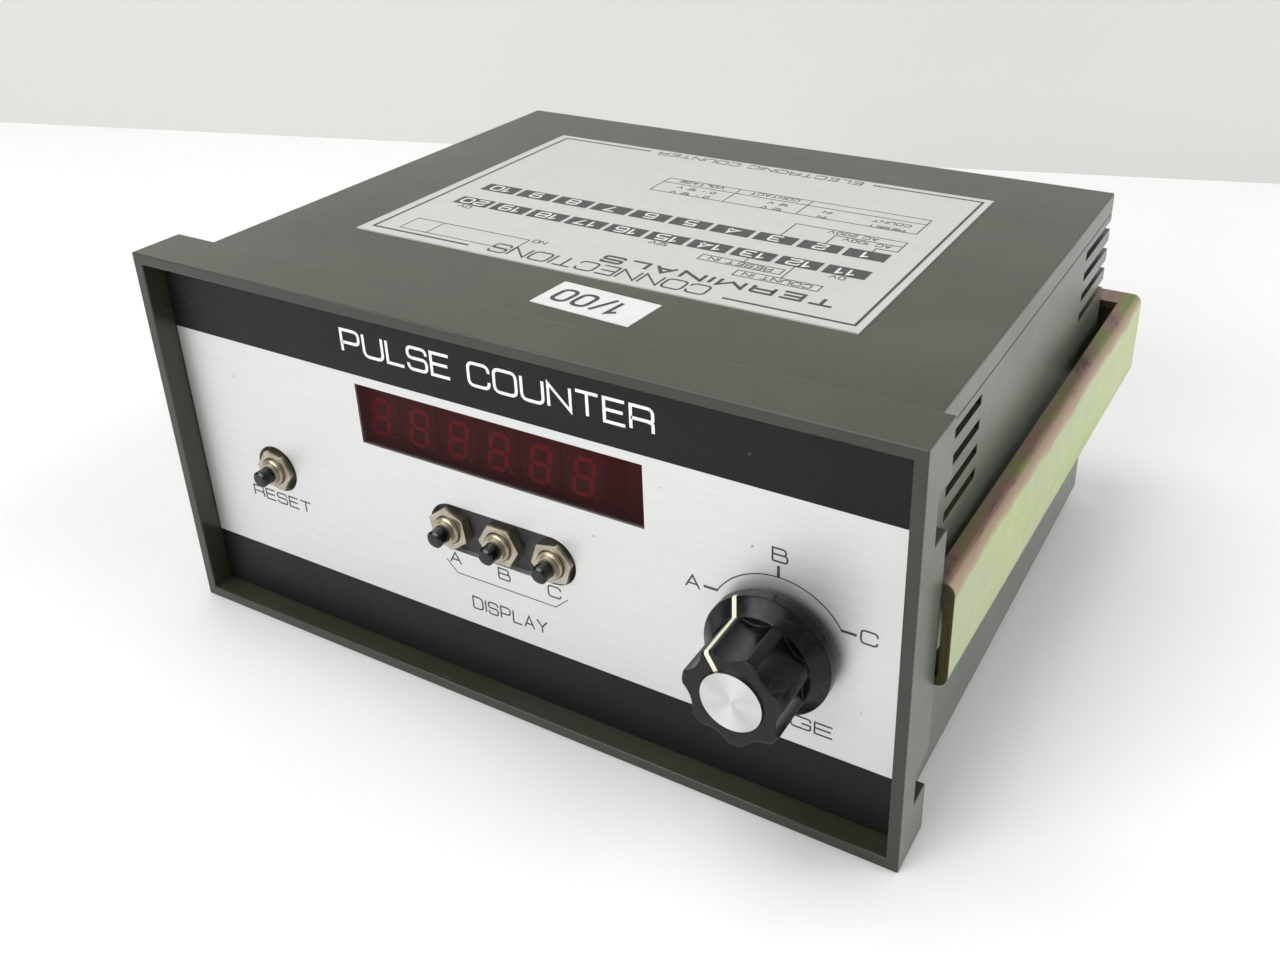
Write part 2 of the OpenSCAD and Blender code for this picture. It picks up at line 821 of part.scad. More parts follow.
module terminal_screws() {
  color([0.76, 0.74, 0.68]) place()
    for (i = [0:terminal_count - 1])
      for (s = [-1, 1])
        difference() {
          union() {
            ycyl(term_x(i), s * row_z, term_y - 6, term_y + 1, term_thread_r);
            ycyl(term_x(i), s * row_z, term_y + term_plate_t, term_y + term_plate_t + term_head_t, term_head_r);
          }
          cross_recess(term_x(i), s * row_z, term_y + 1 + term_plate_t, term_y + 4, 2.6, 0.8);
        }
}

// ---- clamp brackets ----
// block with its outer, rear, top and bottom edges rounded by radius r
module rounded_tray(x1, y1, z0, z1, r) {
  x0 = tab_x;
  y0 = bracket_y0;
  union() {
    span([x0, y0, z0], [x1 - r, y1 - r, z1]);
    span([x0, y0, z0 + r], [x1, y1 - r, z1 - r]);
    span([x0, y0, z0 + r], [x1 - r, y1, z1 - r]);
    for (z = [z0 + r, z1 - r]) {
      ycyl(x1 - r, z, y0, y1 - r, r);
      translate([x0, y1 - r, z]) rotate([0, 90, 0]) cylinder(r = r, h = x1 - r - x0);
      translate([x1 - r, y1 - r, z]) sphere(r = r);
    }
    translate([x1 - r, y1 - r, z0 + r]) cylinder(r = r, h = z1 - z0 - 2 * r);
  }
}

module bracket() {
  t = bracket_t;
  difference() {
    rounded_tray(bracket_x, bracket_y1, bracket_z0, bracket_z1, bracket_fold);
    translate([-eps, -eps, 0])
      rounded_tray(bracket_x - t + eps, bracket_y1 - t + eps, bracket_z0 + t, bracket_z1 - t,
        bracket_fold - t + 0.2);
    span([tab_x - eps, bracket_y0 - eps, bracket_z0 - eps],
      [bracket_x - bracket_flange_w, bracket_y1 - tab_len, bracket_z1 + eps]);
    ycyl(clamp_x, bracket_mid, bracket_y1 - 3, bracket_y1 + eps, clamp_hole_r);
  }
}

// a bracket leaning by its loose fit, turned about the clamp screw
module leaning_bracket() {
  translate([clamp_x, bracket_y1, 0]) rotate([0, 0, -bracket_lean]) translate([-clamp_x, -bracket_y1, 0])
    bracket();
}

module bracket_right() {
  color([0.72, 0.74, 0.5]) place() leaning_bracket();
}

module bracket_left() {
  color([0.72, 0.74, 0.5]) place() mirror([1, 0, 0]) leaning_bracket();
}

module clamp_screw(x) {
  inner = bracket_y1 - bracket_t;
  color([0.8, 0.78, 0.68]) place() difference() {
    union() {
      ycyl(x, bracket_mid, clamp_tip, bracket_y1 + clamp_play + eps, clamp_r);
      ycyl(x, bracket_mid, bracket_y1 + clamp_play, bracket_y1 + clamp_head_t, clamp_head_r);
      ycyl(x, bracket_mid, inner - clamp_play - clamp_collar_t, inner - clamp_play, clamp_collar_r);
    }
    span([x - clamp_head_r - eps, bracket_y1 + clamp_head_t / 2, bracket_mid - clamp_slot_w / 2],
      [x + clamp_head_r + eps, bracket_y1 + clamp_head_t + eps, bracket_mid + clamp_slot_w / 2]);
  }
}

module clamp_screw_right() {
  clamp_screw(clamp_x);
}

module clamp_screw_left() {
  clamp_screw(-clamp_x);
}

bezel_frame();
front_plate();
display_window();
sub_panel();
top_cover();
lower_case();
rear_panel();
case_screws();
connection_label();
date_sticker();
display_board();
digit_modules();
display_spacers();
switch_board();
switch_housings();
switch_bushings();
switch_nuts();
button_reset();
button_a();
button_b();
button_c();
spring_reset();
spring_a();
spring_b();
spring_c();
rotary_housing();
rotary_bushing();
rotary_nut();
rotary_shaft();
knob_body();
knob_disc();
knob_pointer();
knob_set_screw();
main_board();
board_standoffs();
board_screws();
board_link();
transformer_core();
transformer_coil();
capacitors();
logic_chips();
fuse_tube();
fuse_clips();
terminal_block();
terminal_plates();
terminal_screws();
bracket_right();
bracket_left();
clamp_screw_right();
clamp_screw_left();
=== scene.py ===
import json
import math
import bpy
import bmesh
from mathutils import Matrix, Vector


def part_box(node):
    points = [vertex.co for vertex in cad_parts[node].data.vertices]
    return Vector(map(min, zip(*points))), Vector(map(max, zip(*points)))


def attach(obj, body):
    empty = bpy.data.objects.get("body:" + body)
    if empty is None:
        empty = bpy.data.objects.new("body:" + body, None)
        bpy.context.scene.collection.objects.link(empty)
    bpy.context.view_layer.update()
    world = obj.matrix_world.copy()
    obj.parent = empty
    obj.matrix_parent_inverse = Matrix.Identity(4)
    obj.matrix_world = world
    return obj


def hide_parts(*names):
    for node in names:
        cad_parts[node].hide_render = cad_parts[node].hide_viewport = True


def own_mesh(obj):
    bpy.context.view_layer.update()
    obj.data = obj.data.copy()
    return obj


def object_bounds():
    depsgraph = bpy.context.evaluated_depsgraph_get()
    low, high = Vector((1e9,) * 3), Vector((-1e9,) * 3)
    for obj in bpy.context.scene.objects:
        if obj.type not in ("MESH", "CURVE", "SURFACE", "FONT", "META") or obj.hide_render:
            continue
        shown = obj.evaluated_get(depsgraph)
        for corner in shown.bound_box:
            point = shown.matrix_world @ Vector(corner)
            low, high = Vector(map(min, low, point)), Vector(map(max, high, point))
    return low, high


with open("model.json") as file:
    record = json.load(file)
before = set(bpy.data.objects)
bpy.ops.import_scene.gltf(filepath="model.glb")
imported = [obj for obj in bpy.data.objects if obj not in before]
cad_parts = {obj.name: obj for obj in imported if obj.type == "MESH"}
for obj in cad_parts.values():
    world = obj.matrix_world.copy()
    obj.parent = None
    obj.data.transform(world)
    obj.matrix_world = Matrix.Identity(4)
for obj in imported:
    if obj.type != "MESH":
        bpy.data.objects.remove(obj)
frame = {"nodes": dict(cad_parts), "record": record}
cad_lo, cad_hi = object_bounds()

MM = 0.001
INK = 0.02            # thickness of a printed line, mm
STROKE_STEP = 0.005   # each further stroke of a letter stands this much higher, so none coincide
LIFT = 0.012          # gap between a surface and the print on it, mm
LABEL_LIFT = 0.6 * LIFT
SIDE_X = 71.5         # further out than the bezel's inner walls, mm
LIP_Y = 5.5           # behind the bezel, mm
BAND_TOP_Z = 21.0     # lower edge of the plate's upper black band
BAND_LOW_Z = -22.4    # upper edge of its lower black band
nodes = frame["nodes"]
bezel_lo, bezel_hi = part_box("bezel_frame")
FRONT = bezel_lo.y
MID_Z = (bezel_lo.z + bezel_hi.z) / 2
PLATE_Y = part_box("front_plate")[0].y


def at(x, y, z):
    """Millimetres from the middle of the bezel's front face, X right, Y to the rear, Z up."""
    return Vector((x * MM, FRONT + y * MM, MID_Z + z * MM))


# ---------------------------------------------------------------- materials
class Mat:
    """A principled material with helpers that add procedural nodes."""

    def __init__(self, name, **values):
        self.m = bpy.data.materials.new(name)
        self.m.use_nodes = True
        self.t = self.m.node_tree
        self.t.nodes.clear()
        self.out = self.t.nodes.new("ShaderNodeOutputMaterial")
        self.b = self.t.nodes.new("ShaderNodeBsdfPrincipled")
        self.t.links.new(self.b.outputs[0], self.out.inputs[0])
        self.tc = self.t.nodes.new("ShaderNodeTexCoord")
        for key, value in values.items():
            self.set(key.replace("_", " "), value)

    def set(self, socket, value):
        s = next(i for i in self.b.inputs if i.name.lower() == socket.lower())
        if isinstance(value, bpy.types.NodeSocket):
            self.t.links.new(value, s)
        elif isinstance(value, (tuple, list)):
            s.default_value = (*value[:3], 1.0)
        else:
            s.default_value = value

    def node(self, kind, **props):
        n = self.t.nodes.new(kind)
        for k, v in props.items():
            setattr(n, k, v)
        return n

    def put(self, socket, value):
        if isinstance(value, bpy.types.NodeSocket):
            self.t.links.new(value, socket)
        elif isinstance(value, (tuple, list)):
            socket.default_value = (*value, 1.0)[: len(socket.default_value)]
        else:
            socket.default_value = value

    def coord(self, scale=(1, 1, 1), rot=(0, 0, 0), loc=(0, 0, 0)):
        n = self.node("ShaderNodeMapping")
        self.put(n.inputs["Vector"], self.tc.outputs["Object"])
        n.inputs["Scale"].default_value = scale
        n.inputs["Rotation"].default_value = rot
        n.inputs["Location"].default_value = loc
        return n.outputs[0]

    def noise(self, scale, detail=4.0, rough=0.55, vector=None, distort=0.0):
        n = self.node("ShaderNodeTexNoise")
        self.put(n.inputs["Vector"], vector or self.tc.outputs["Object"])
        n.inputs["Scale"].default_value = scale
        n.inputs["Detail"].default_value = detail
        n.inputs["Roughness"].default_value = rough
        n.inputs["Distortion"].default_value = distort
        return n.outputs["Fac"]

    def ramp(self, fac, *stops):
        n = self.node("ShaderNodeValToRGB")
        self.put(n.inputs[0], fac)
        e = n.color_ramp.elements
        while len(e) < len(stops):
            e.new(0.5)
        for el, (pos, col) in zip(e, stops):
            el.position = pos
            el.color = (col, col, col, 1) if isinstance(col, (int, float)) else (*col, 1)
        return n.outputs[0]

    def mix(self, fac, a, b, mode="MIX"):
        n = self.node("ShaderNodeMix", data_type="RGBA", blend_type=mode)
        self.put(n.inputs[0], fac)
        self.put(n.inputs[6], a)
        self.put(n.inputs[7], b)
        return n.outputs[2]

    def math(self, op, a, b=0.0, clamp=False):
        n = self.node("ShaderNodeMath", operation=op, use_clamp=clamp)
        self.put(n.inputs[0], a)
        self.put(n.inputs[1], b)
        return n.outputs[0]

    def axis(self, i):
        n = self.node("ShaderNodeSeparateXYZ")
        self.put(n.inputs[0], self.tc.outputs["Object"])
        return n.outputs[i]

    def normal_axis(self, i):
        g = self.node("ShaderNodeNewGeometry")
        n = self.node("ShaderNodeSeparateXYZ")
        self.put(n.inputs[0], g.outputs["Normal"])
        return n.outputs[i]

    def above(self, value, limit, soft=1e-5):
        """0 below limit, 1 above it."""
        n = self.node("ShaderNodeMapRange", clamp=True)
        self.put(n.inputs[0], value)
        n.inputs[1].default_value = limit - soft
        n.inputs[2].default_value = limit + soft
        return n.outputs[0]

    def bump(self, height, strength=0.3, distance=0.0001, chain=None):
        n = self.node("ShaderNodeBump")
        n.inputs["Strength"].default_value = strength
        n.inputs["Distance"].default_value = distance
        self.put(n.inputs["Height"], height)
        if chain is not None:
            self.put(n.inputs["Normal"], chain)
        self.set("Normal", n.outputs[0])
        return n.outputs[0]


def srgb(r, g, b):
    """A screen colour, 0 to 255 a channel, as the linear colour that the shaders take."""
    return tuple(c / 255 / 12.92 if c / 255 <= 0.04045 else ((c / 255 + 0.055) / 1.055) ** 2.4
                 for c in (r, g, b))


def make_case_plastic():
    m = Mat("case_plastic", IOR=1.5, Specular_IOR_Level=0.5)
    base = m.mix(m.ramp(m.noise(45, 5, 0.6), (0.35, 0.0), (0.68, 1.0)), srgb(48, 51, 39), srgb(55, 58, 45))
    cloud = m.ramp(m.noise(14, 4, 0.6, distort=0.6), (0.52, 0.0), (0.75, 1.0))
    base = m.mix(m.math("MULTIPLY", cloud, 0.14), base, srgb(92, 98, 96))
    dust = m.ramp(m.noise(900, 3, 0.7), (0.73, 0.0), (0.79, 1.0))
    base = m.mix(m.math("MULTIPLY", dust, 0.2), base, srgb(140, 138, 126))
    scratch = m.ramp(m.noise(1, 2, 0.5, m.coord((90, 900, 900), (0.3, 0.1, 0.5))), (0.70, 0.0), (0.735, 1.0))
    base = m.mix(m.math("MULTIPLY", scratch, 0.07), base, srgb(130, 132, 122))
    # painted sheen and scuffs: only the outer side faces are lightened, for their grazing reflection of the
    # bright surroundings and their scuffing, not the inner walls of the bezel
    outside = m.math("MAXIMUM", m.above(m.math("ABSOLUTE", m.axis(0)), SIDE_X * MM),
                     m.above(m.axis(1), FRONT + LIP_Y * MM))
    side = m.math("MULTIPLY", m.math("ABSOLUTE", m.normal_axis(0)), outside)
    scuff_and_sheen = m.ramp(m.noise(55, 5, 0.7, m.coord((1, 0.5, 1), (0.6, 0, 0))), (0.30, 0.45), (0.72, 1.0))
    scuff_and_sheen = m.math("MULTIPLY", m.math("POWER", side, 4.0), scuff_and_sheen)
    base = m.mix(m.math("MULTIPLY", scuff_and_sheen, 0.66), base, srgb(120, 125, 116))
    # painted shade: the faces that look forward are darkened, as they reflect little of the bright
    # surroundings
    front_shade = m.above(m.math("MULTIPLY", m.normal_axis(1), -1.0), 0.8, 0.1)
    base = m.mix(m.math("MULTIPLY", front_shade, 0.62), base, srgb(28, 31, 22))
    m.set("Base Color", base)
    rough = m.ramp(m.noise(38, 4, 0.6), (0.3, 0.27), (0.7, 0.36))
    rough = m.math("ADD", rough, m.math("MULTIPLY", scratch, 0.08))
    m.set("Roughness", rough)
    grain = m.bump(m.noise(5200, 2, 0.6), 0.22, 0.00002)
    m.bump(m.noise(60, 3, 0.5), 0.25, 0.0001, grain)
    return m.m


def make_plate():
    m = Mat("plate_silver", Metallic=0.75, IOR=1.5)
    z = m.axis(2)
    band = m.math("MAXIMUM", m.above(z, MID_Z + BAND_TOP_Z * MM),
                  m.math("SUBTRACT", 1.0, m.above(z, MID_Z + BAND_LOW_Z * MM)))
    brush = m.noise(1, 5, 0.65, m.coord((60, 1, 2600)))
    fine = m.noise(1, 3, 0.6, m.coord((90, 1, 7000)))
    silver = m.mix(m.ramp(brush, (0.3, 0.0), (0.7, 1.0)), srgb(211, 212, 209), srgb(219, 220, 217))
    streaks = m.math("MULTIPLY", m.ramp(fine, (0.35, 0.0), (0.7, 1.0)), 0.3)
    silver = m.mix(streaks, silver, srgb(202, 203, 202))
    speck = m.ramp(m.noise(620, 2, 0.5), (0.765, 0.0), (0.785, 1.0))
    silver = m.mix(m.math("MULTIPLY", speck, 0.55), silver, srgb(120, 112, 98))
    ink = m.mix(m.noise(500, 3, 0.6), srgb(11, 12, 13), srgb(17, 17, 19))
    dust = m.ramp(m.noise(700, 2, 0.6), (0.74, 0.0), (0.78, 1.0))
    ink = m.mix(m.math("MULTIPLY", dust, 0.35), ink, srgb(120, 118, 112))
    m.set("Base Color", m.mix(band, silver, ink))
    m.set("Metallic", m.math("MULTIPLY", m.math("SUBTRACT", 1.0, band), 0.75))
    rough = m.mix(band, m.ramp(brush, (0.2, 0.42), (0.8, 0.50)),
                  m.ramp(m.noise(300, 3, 0.6), (0.3, 0.40), (0.7, 0.5)))
    m.set("Roughness", rough)
    m.bump(m.math("ADD", brush, m.math("MULTIPLY", fine, 0.5)), 0.04, 0.00002)
    m.set("Specular IOR Level", m.mix(band, (0.5, 0.5, 0.5), (0.22, 0.22, 0.22)))
    return m.m


def make_window():
    m = Mat("window_red", IOR=1.49, Roughness=0.08, Alpha=0.5, Specular_IOR_Level=0.12)
    lo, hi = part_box("display_window")
    rise = m.math("DIVIDE", m.math("SUBTRACT", m.axis(2), lo.z), hi.z - lo.z)
    rise = m.math("ADD", rise, m.math("MULTIPLY", m.math("SUBTRACT", m.noise(160, 4, 0.65), 0.5), 0.35))
    grad = m.ramp(rise, (0.10, srgb(40, 9, 11)), (0.55, srgb(54, 5, 9)), (0.86, srgb(58, 5, 10)))
    m.set("Base Color", grad)
    m.bump(m.noise(90, 2, 0.5), 0.05, 0.0001)
    return m.m


def make_segment():
    m = Mat("digit_segment", IOR=1.5, Roughness=0.4)
    m.set("Base Color", m.mix(m.noise(1500, 3, 0.6), (0.66, 0.016, 0.024), (0.80, 0.035, 0.045)))
    m.bump(m.noise(3000, 2, 0.5), 0.1, 0.00002)
    return m.m


def plain(name, a, b, rough=(0.4, 0.5), metallic=0.0, scale=300, bump=0.1, dirt=None,
          stretch=(1, 1, 1), **values):
    """A base of two close colours, uneven roughness, fine relief and optional dirt in patches."""
    m = Mat(name, Metallic=metallic, **values)
    v = m.coord(stretch)
    base = m.mix(m.ramp(m.noise(scale, 4, 0.6, v), (0.3, 0.0), (0.7, 1.0)), a, b)
    if dirt:
        patch = m.ramp(m.noise(scale * 0.5, 5, 0.7, distort=0.8), (0.55, 0.0), (0.72, 1.0))
        base = m.mix(m.math("MULTIPLY", patch, dirt[1]), base, dirt[0])
    m.set("Base Color", base)
    m.set("Roughness", m.ramp(m.noise(scale * 1.7, 4, 0.65, v), (0.3, rough[0]), (0.72, rough[1])))
    m.bump(m.noise(2500, 3, 0.6, v), bump, 0.00002)
    return m.m


def make_knob():
    m = Mat("knob_black", IOR=1.5, Specular_IOR_Level=0.25)
    base = m.mix(m.noise(700, 4, 0.6), srgb(7, 7, 7), srgb(11, 11, 11))
    wear = m.ramp(m.noise(230, 5, 0.72, distort=1.2), (0.50, 0.0), (0.66, 1.0))
    base = m.mix(m.math("MULTIPLY", wear, 0.16), base, srgb(52, 47, 38))
    dust = m.ramp(m.noise(2600, 3, 0.7), (0.66, 0.0), (0.74, 1.0))
    base = m.mix(m.math("MULTIPLY", dust, 0.16), base, srgb(120, 114, 100))
    m.set("Base Color", base)
    gloss = m.ramp(m.noise(500, 4, 0.6), (0.3, 0.17), (0.7, 0.24))
    m.set("Roughness", m.math("ADD", gloss, m.math("MULTIPLY", wear, 0.14)))
    edges = m.node("ShaderNodeBevel", samples=6)
    edges.inputs["Radius"].default_value = 0.45 * MM
    m.bump(m.noise(1400, 4, 0.6), 0.1, 0.00002, edges.outputs[0])
    return m.m


def make_zinc():
    m = Mat("zinc_yellow", Metallic=0.8)
    lo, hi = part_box("bracket_right")
    along = m.coord((1, 0.22, 1.1))
    base = m.ramp(m.noise(70, 3, 0.55, along, 0.4),
                  (0.30, srgb(205, 202, 168)), (0.42, srgb(198, 208, 154)), (0.54, srgb(183, 205, 137)),
                  (0.66, srgb(195, 208, 156)), (0.78, srgb(203, 201, 166)))
    grey = m.ramp(m.noise(44, 6, 0.66, m.coord((1, 0.4, 1), loc=(0.2, 0.4, 0.1))), (0.46, 0.0), (0.58, 1.0))
    base = m.mix(m.math("MULTIPLY", grey, 0.55), base, srgb(190, 197, 168))
    # pink band where the web folds into the top flange
    waver = m.math("SUBTRACT", m.noise(60, 6, 0.66), 0.5)
    fold = m.math("ADD", m.axis(2), m.math("MULTIPLY", waver, 5 * MM))
    side = m.math("SUBTRACT", 1.0, m.math("ABSOLUTE", m.normal_axis(0)), clamp=True)
    web = m.math("SUBTRACT", 1.0, m.ramp(side, (0.3, 0.0), (0.85, 1.0)))
    band = m.math("MULTIPLY", m.above(fold, hi.z - 2.1 * MM, 0.6 * MM), m.math("MULTIPLY", web, 0.66))
    base = m.mix(band, base, srgb(170, 122, 128))
    low = m.math("SUBTRACT", 1.0, m.above(fold, lo.z + 1.8 * MM, 1.4 * MM))
    base = m.mix(m.math("MULTIPLY", low, 0.6), base, srgb(188, 172, 160))
    # flanges and bends: patches of green, purple and olive, kept darker than the web as painted shade
    flange_tint_and_shade = m.ramp(m.noise(50, 7, 0.68, m.coord((1, 0.55, 1)), 0.7),
                  (0.34, srgb(96, 120, 56)), (0.44, srgb(108, 120, 66)), (0.50, srgb(120, 104, 76)),
                  (0.54, srgb(132, 94, 94)), (0.60, srgb(84, 58, 68)), (0.66, srgb(62, 54, 44)),
                  (0.73, srgb(96, 122, 60)))
    base = m.mix(m.math("MULTIPLY", m.ramp(side, (0.12, 0.0), (0.7, 1.0)), 0.9), base, flange_tint_and_shade)
    # sheared front edge: thin copper and dark oxide
    cut = m.math("SUBTRACT", 1.0, m.above(m.axis(1), lo.y + 0.3 * MM, 3e-5))
    edge = m.ramp(m.noise(1, 4, 0.65, m.coord((1900, 1, 45))),
                  (0.36, srgb(44, 42, 28)), (0.47, srgb(92, 88, 50)), (0.56, srgb(60, 50, 36)),
                  (0.66, srgb(170, 118, 92)))
    rim = m.above(m.math("ABSOLUTE", m.axis(0)), hi.x - 0.55 * MM, 0.12 * MM)
    edge = m.mix(m.math("MULTIPLY", rim, 0.85), edge, srgb(164, 116, 92))
    base = m.mix(cut, base, edge)
    grime = m.ramp(m.noise(420, 4, 0.7), (0.64, 0.0), (0.74, 1.0))
    base = m.mix(m.math("MULTIPLY", grime, 0.3), base, srgb(110, 100, 74))
    m.set("Base Color", base)
    m.set("Roughness", m.ramp(m.noise(260, 4, 0.65), (0.3, 0.36), (0.7, 0.5)))
    m.bump(m.noise(1600, 3, 0.6, along), 0.12, 0.00003)
    return m.m


def make_spun():
    m = Mat("knob_aluminium", Metallic=1.0, Anisotropic=0.75)
    lo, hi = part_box("knob_disc")
    c = (lo + hi) / 2
    dx = m.math("SUBTRACT", m.axis(0), c.x)
    dz = m.math("SUBTRACT", m.axis(2), c.z)
    r = m.math("SQRT", m.math("ADD", m.math("MULTIPLY", dx, dx), m.math("MULTIPLY", dz, dz)))
    n = m.node("ShaderNodeTexNoise", noise_dimensions="1D")
    m.put(n.inputs["W"], r)
    n.inputs["Scale"].default_value = 5200
    n.inputs["Detail"].default_value = 3
    # painted highlight: a bright streak across the spun face, brightest along one diameter
    turn = m.math("MULTIPLY", m.math("ARCTAN2", dx, dz), 2.0)
    painted_streak = m.math("ADD", m.math("MULTIPLY", m.math("COSINE", m.math("SUBTRACT", turn, 0.35)), 0.5), 0.5)
    painted_streak = m.math("POWER", painted_streak, 3.0)
    disc = m.mix(n.outputs["Fac"], srgb(188, 188, 186), srgb(204, 204, 201))
    disc = m.mix(m.math("MULTIPLY", painted_streak, 0.75), disc, srgb(226, 226, 224))
    stain = m.ramp(m.noise(420, 4, 0.7), (0.62, 0.0), (0.72, 1.0))
    m.set("Base Color", m.mix(m.math("MULTIPLY", stain, 0.3), disc, srgb(150, 140, 118)))
    m.set("Roughness", m.ramp(m.noise(1, 3, 0.7), (0.3, 0.30), (0.7, 0.36)))
    m.set("Tangent", m.node("ShaderNodeTangent", direction_type="RADIAL", axis="Y").outputs[0])
    m.bump(n.outputs["Fac"], 0.05, 0.00002)
    return m.m


def make_label():
    m = Mat("label_foil", IOR=1.5, Metallic=0.35)
    base = m.mix(m.noise(220, 4, 0.6), srgb(190, 191, 186), srgb(199, 200, 195))
    stain = m.ramp(m.noise(75, 4, 0.7), (0.64, 0.0), (0.78, 1.0))
    base = m.mix(m.math("MULTIPLY", stain, 0.3), base, srgb(176, 166, 136))
    m.set("Base Color", base)
    m.set("Roughness", m.ramp(m.noise(340, 3, 0.6), (0.3, 0.38), (0.7, 0.5)))
    m.bump(m.noise(1800, 3, 0.6), 0.08, 0.00002)
    return m.m


MATS = {
    "case_plastic": make_case_plastic(),
    "plate_silver": make_plate(),
    "window_red": make_window(),
    "knob_black": make_knob(),
    "zinc_yellow": make_zinc(),
    "knob_aluminium": make_spun(),
    "label_foil": make_label(),
    "panel_black": plain("panel_black", srgb(30, 30, 31), srgb(40, 40, 40),
                         (0.4, 0.6), scale=240, dirt=(srgb(92, 88, 78), 0.12)),
    "sticker_paper": plain("sticker_paper", srgb(202, 202, 200), srgb(209, 209, 207),
                           (0.5, 0.65), scale=400, bump=0.15),
    "board_green": plain("board_green", srgb(34, 84, 48), srgb(44, 104, 58), (0.28, 0.4), scale=160),
    "digit_red": plain("digit_red", srgb(52, 10, 12), srgb(70, 12, 15), (0.3, 0.45), scale=260),
    "switch_black": plain("switch_black", srgb(28, 28, 29), srgb(38, 38, 38), (0.4, 0.55)),
    "nickel": plain("nickel", srgb(166, 158, 140), srgb(190, 183, 166),
                    (0.28, 0.44), 1.0, 420, 0.12, (srgb(112, 99, 76), 0.5)),
    "button_black": plain("button_black", srgb(9, 9, 9), srgb(14, 14, 15),
                          (0.12, 0.22), scale=600, bump=0.06, Specular_IOR_Level=0.4),
    "spring_steel": plain("spring_steel", srgb(170, 170, 168), srgb(196, 196, 194), (0.25, 0.35), 1.0),
    "rotary_brown": plain("rotary_brown", srgb(84, 52, 30), srgb(100, 62, 36), (0.3, 0.45)),
    "brass": plain("brass", srgb(190, 160, 96), srgb(208, 178, 112),
                   (0.25, 0.4), 1.0, dirt=(srgb(110, 86, 50), 0.3)),
    "steel": plain("steel", srgb(112, 108, 97), srgb(136, 131, 118),
                   (0.25, 0.4), 1.0, dirt=(srgb(120, 108, 86), 0.35)),
    "pointer_ivory": plain("pointer_ivory", srgb(212, 208, 184), srgb(226, 223, 202),
                           (0.45, 0.6), scale=900, dirt=(srgb(150, 140, 110), 0.4)),
    "header_plastic": plain("header_plastic", srgb(222, 216, 190), srgb(232, 227, 205), (0.4, 0.5)),
    "core_steel": plain("core_steel", srgb(72, 74, 78), srgb(96, 98, 102),
                        (0.35, 0.5), 0.6, 900, stretch=(1, 30, 1)),
    "coil_tape": plain("coil_tape", srgb(196, 160, 50), srgb(212, 178, 70), (0.25, 0.4)),
    "capacitor_sleeve": plain("capacitor_sleeve", srgb(28, 38, 80), srgb(36, 48, 96), (0.2, 0.3)),
    "chip_black": plain("chip_black", srgb(30, 30, 32), srgb(40, 40, 42), (0.5, 0.65)),
    "fuse_glass": plain("fuse_glass", srgb(220, 226, 226), srgb(232, 236, 236), (0.04, 0.08), Alpha=0.35),
    "terminal_black": plain("terminal_black", srgb(24, 24, 25), srgb(36, 36, 36),
                            (0.25, 0.4), scale=260, dirt=(srgb(84, 80, 70), 0.3)),
    "terminal_nickel": plain("terminal_nickel", srgb(190, 184, 168), srgb(212, 206, 190),
                             (0.22, 0.38), 1.0, 420, 0.1, (srgb(120, 104, 76), 0.4)),
}
for part in frame["record"]["subparts"]:
    mat = MATS[part["material_slot"]]
    mesh = nodes[part["node"]].data
    mesh.materials.clear()
    mesh.materials.append(mat)
# painted shade: the clamp screws are coloured dark, with dirt patches, so that their ends inside the
# bracket's channel show as shaded
screw_shade = plain("steel_dark_shade", srgb(50, 48, 44), srgb(68, 65, 58),
                   (0.4, 0.55), 0.8, 420, 0.12, (srgb(92, 84, 66), 0.4))
for name in ("clamp_screw_right", "clamp_screw_left"):
    nodes[name].data.materials[0] = screw_shade


def soften(node, width, segments=2, angle=35):
    """Rounds a CAD node's moulded or cut edges slightly, with modifiers only."""
    o = nodes[node]
    w = o.modifiers.new("weld", "WELD")
    w.merge_threshold = 1e-6
    b = o.modifiers.new("edge", "BEVEL")
    b.width = width * MM
    b.segments = segments
    b.limit_method = "ANGLE"
    b.angle_limit = math.radians(angle)
    b.harden_normals = False
    n = o.modifiers.new("normals", "WEIGHTED_NORMAL")
    n.keep_sharp = True


for node, width in (("bezel_frame", 0.3), ("top_cover", 0.3), ("lower_case", 0.15), ("rear_panel", 0.2),
                    ("switch_nuts", 0.18), ("rotary_nut", 0.2), ("terminal_block", 0.2),
                    ("terminal_plates", 0.1)):
    soften(node, width)


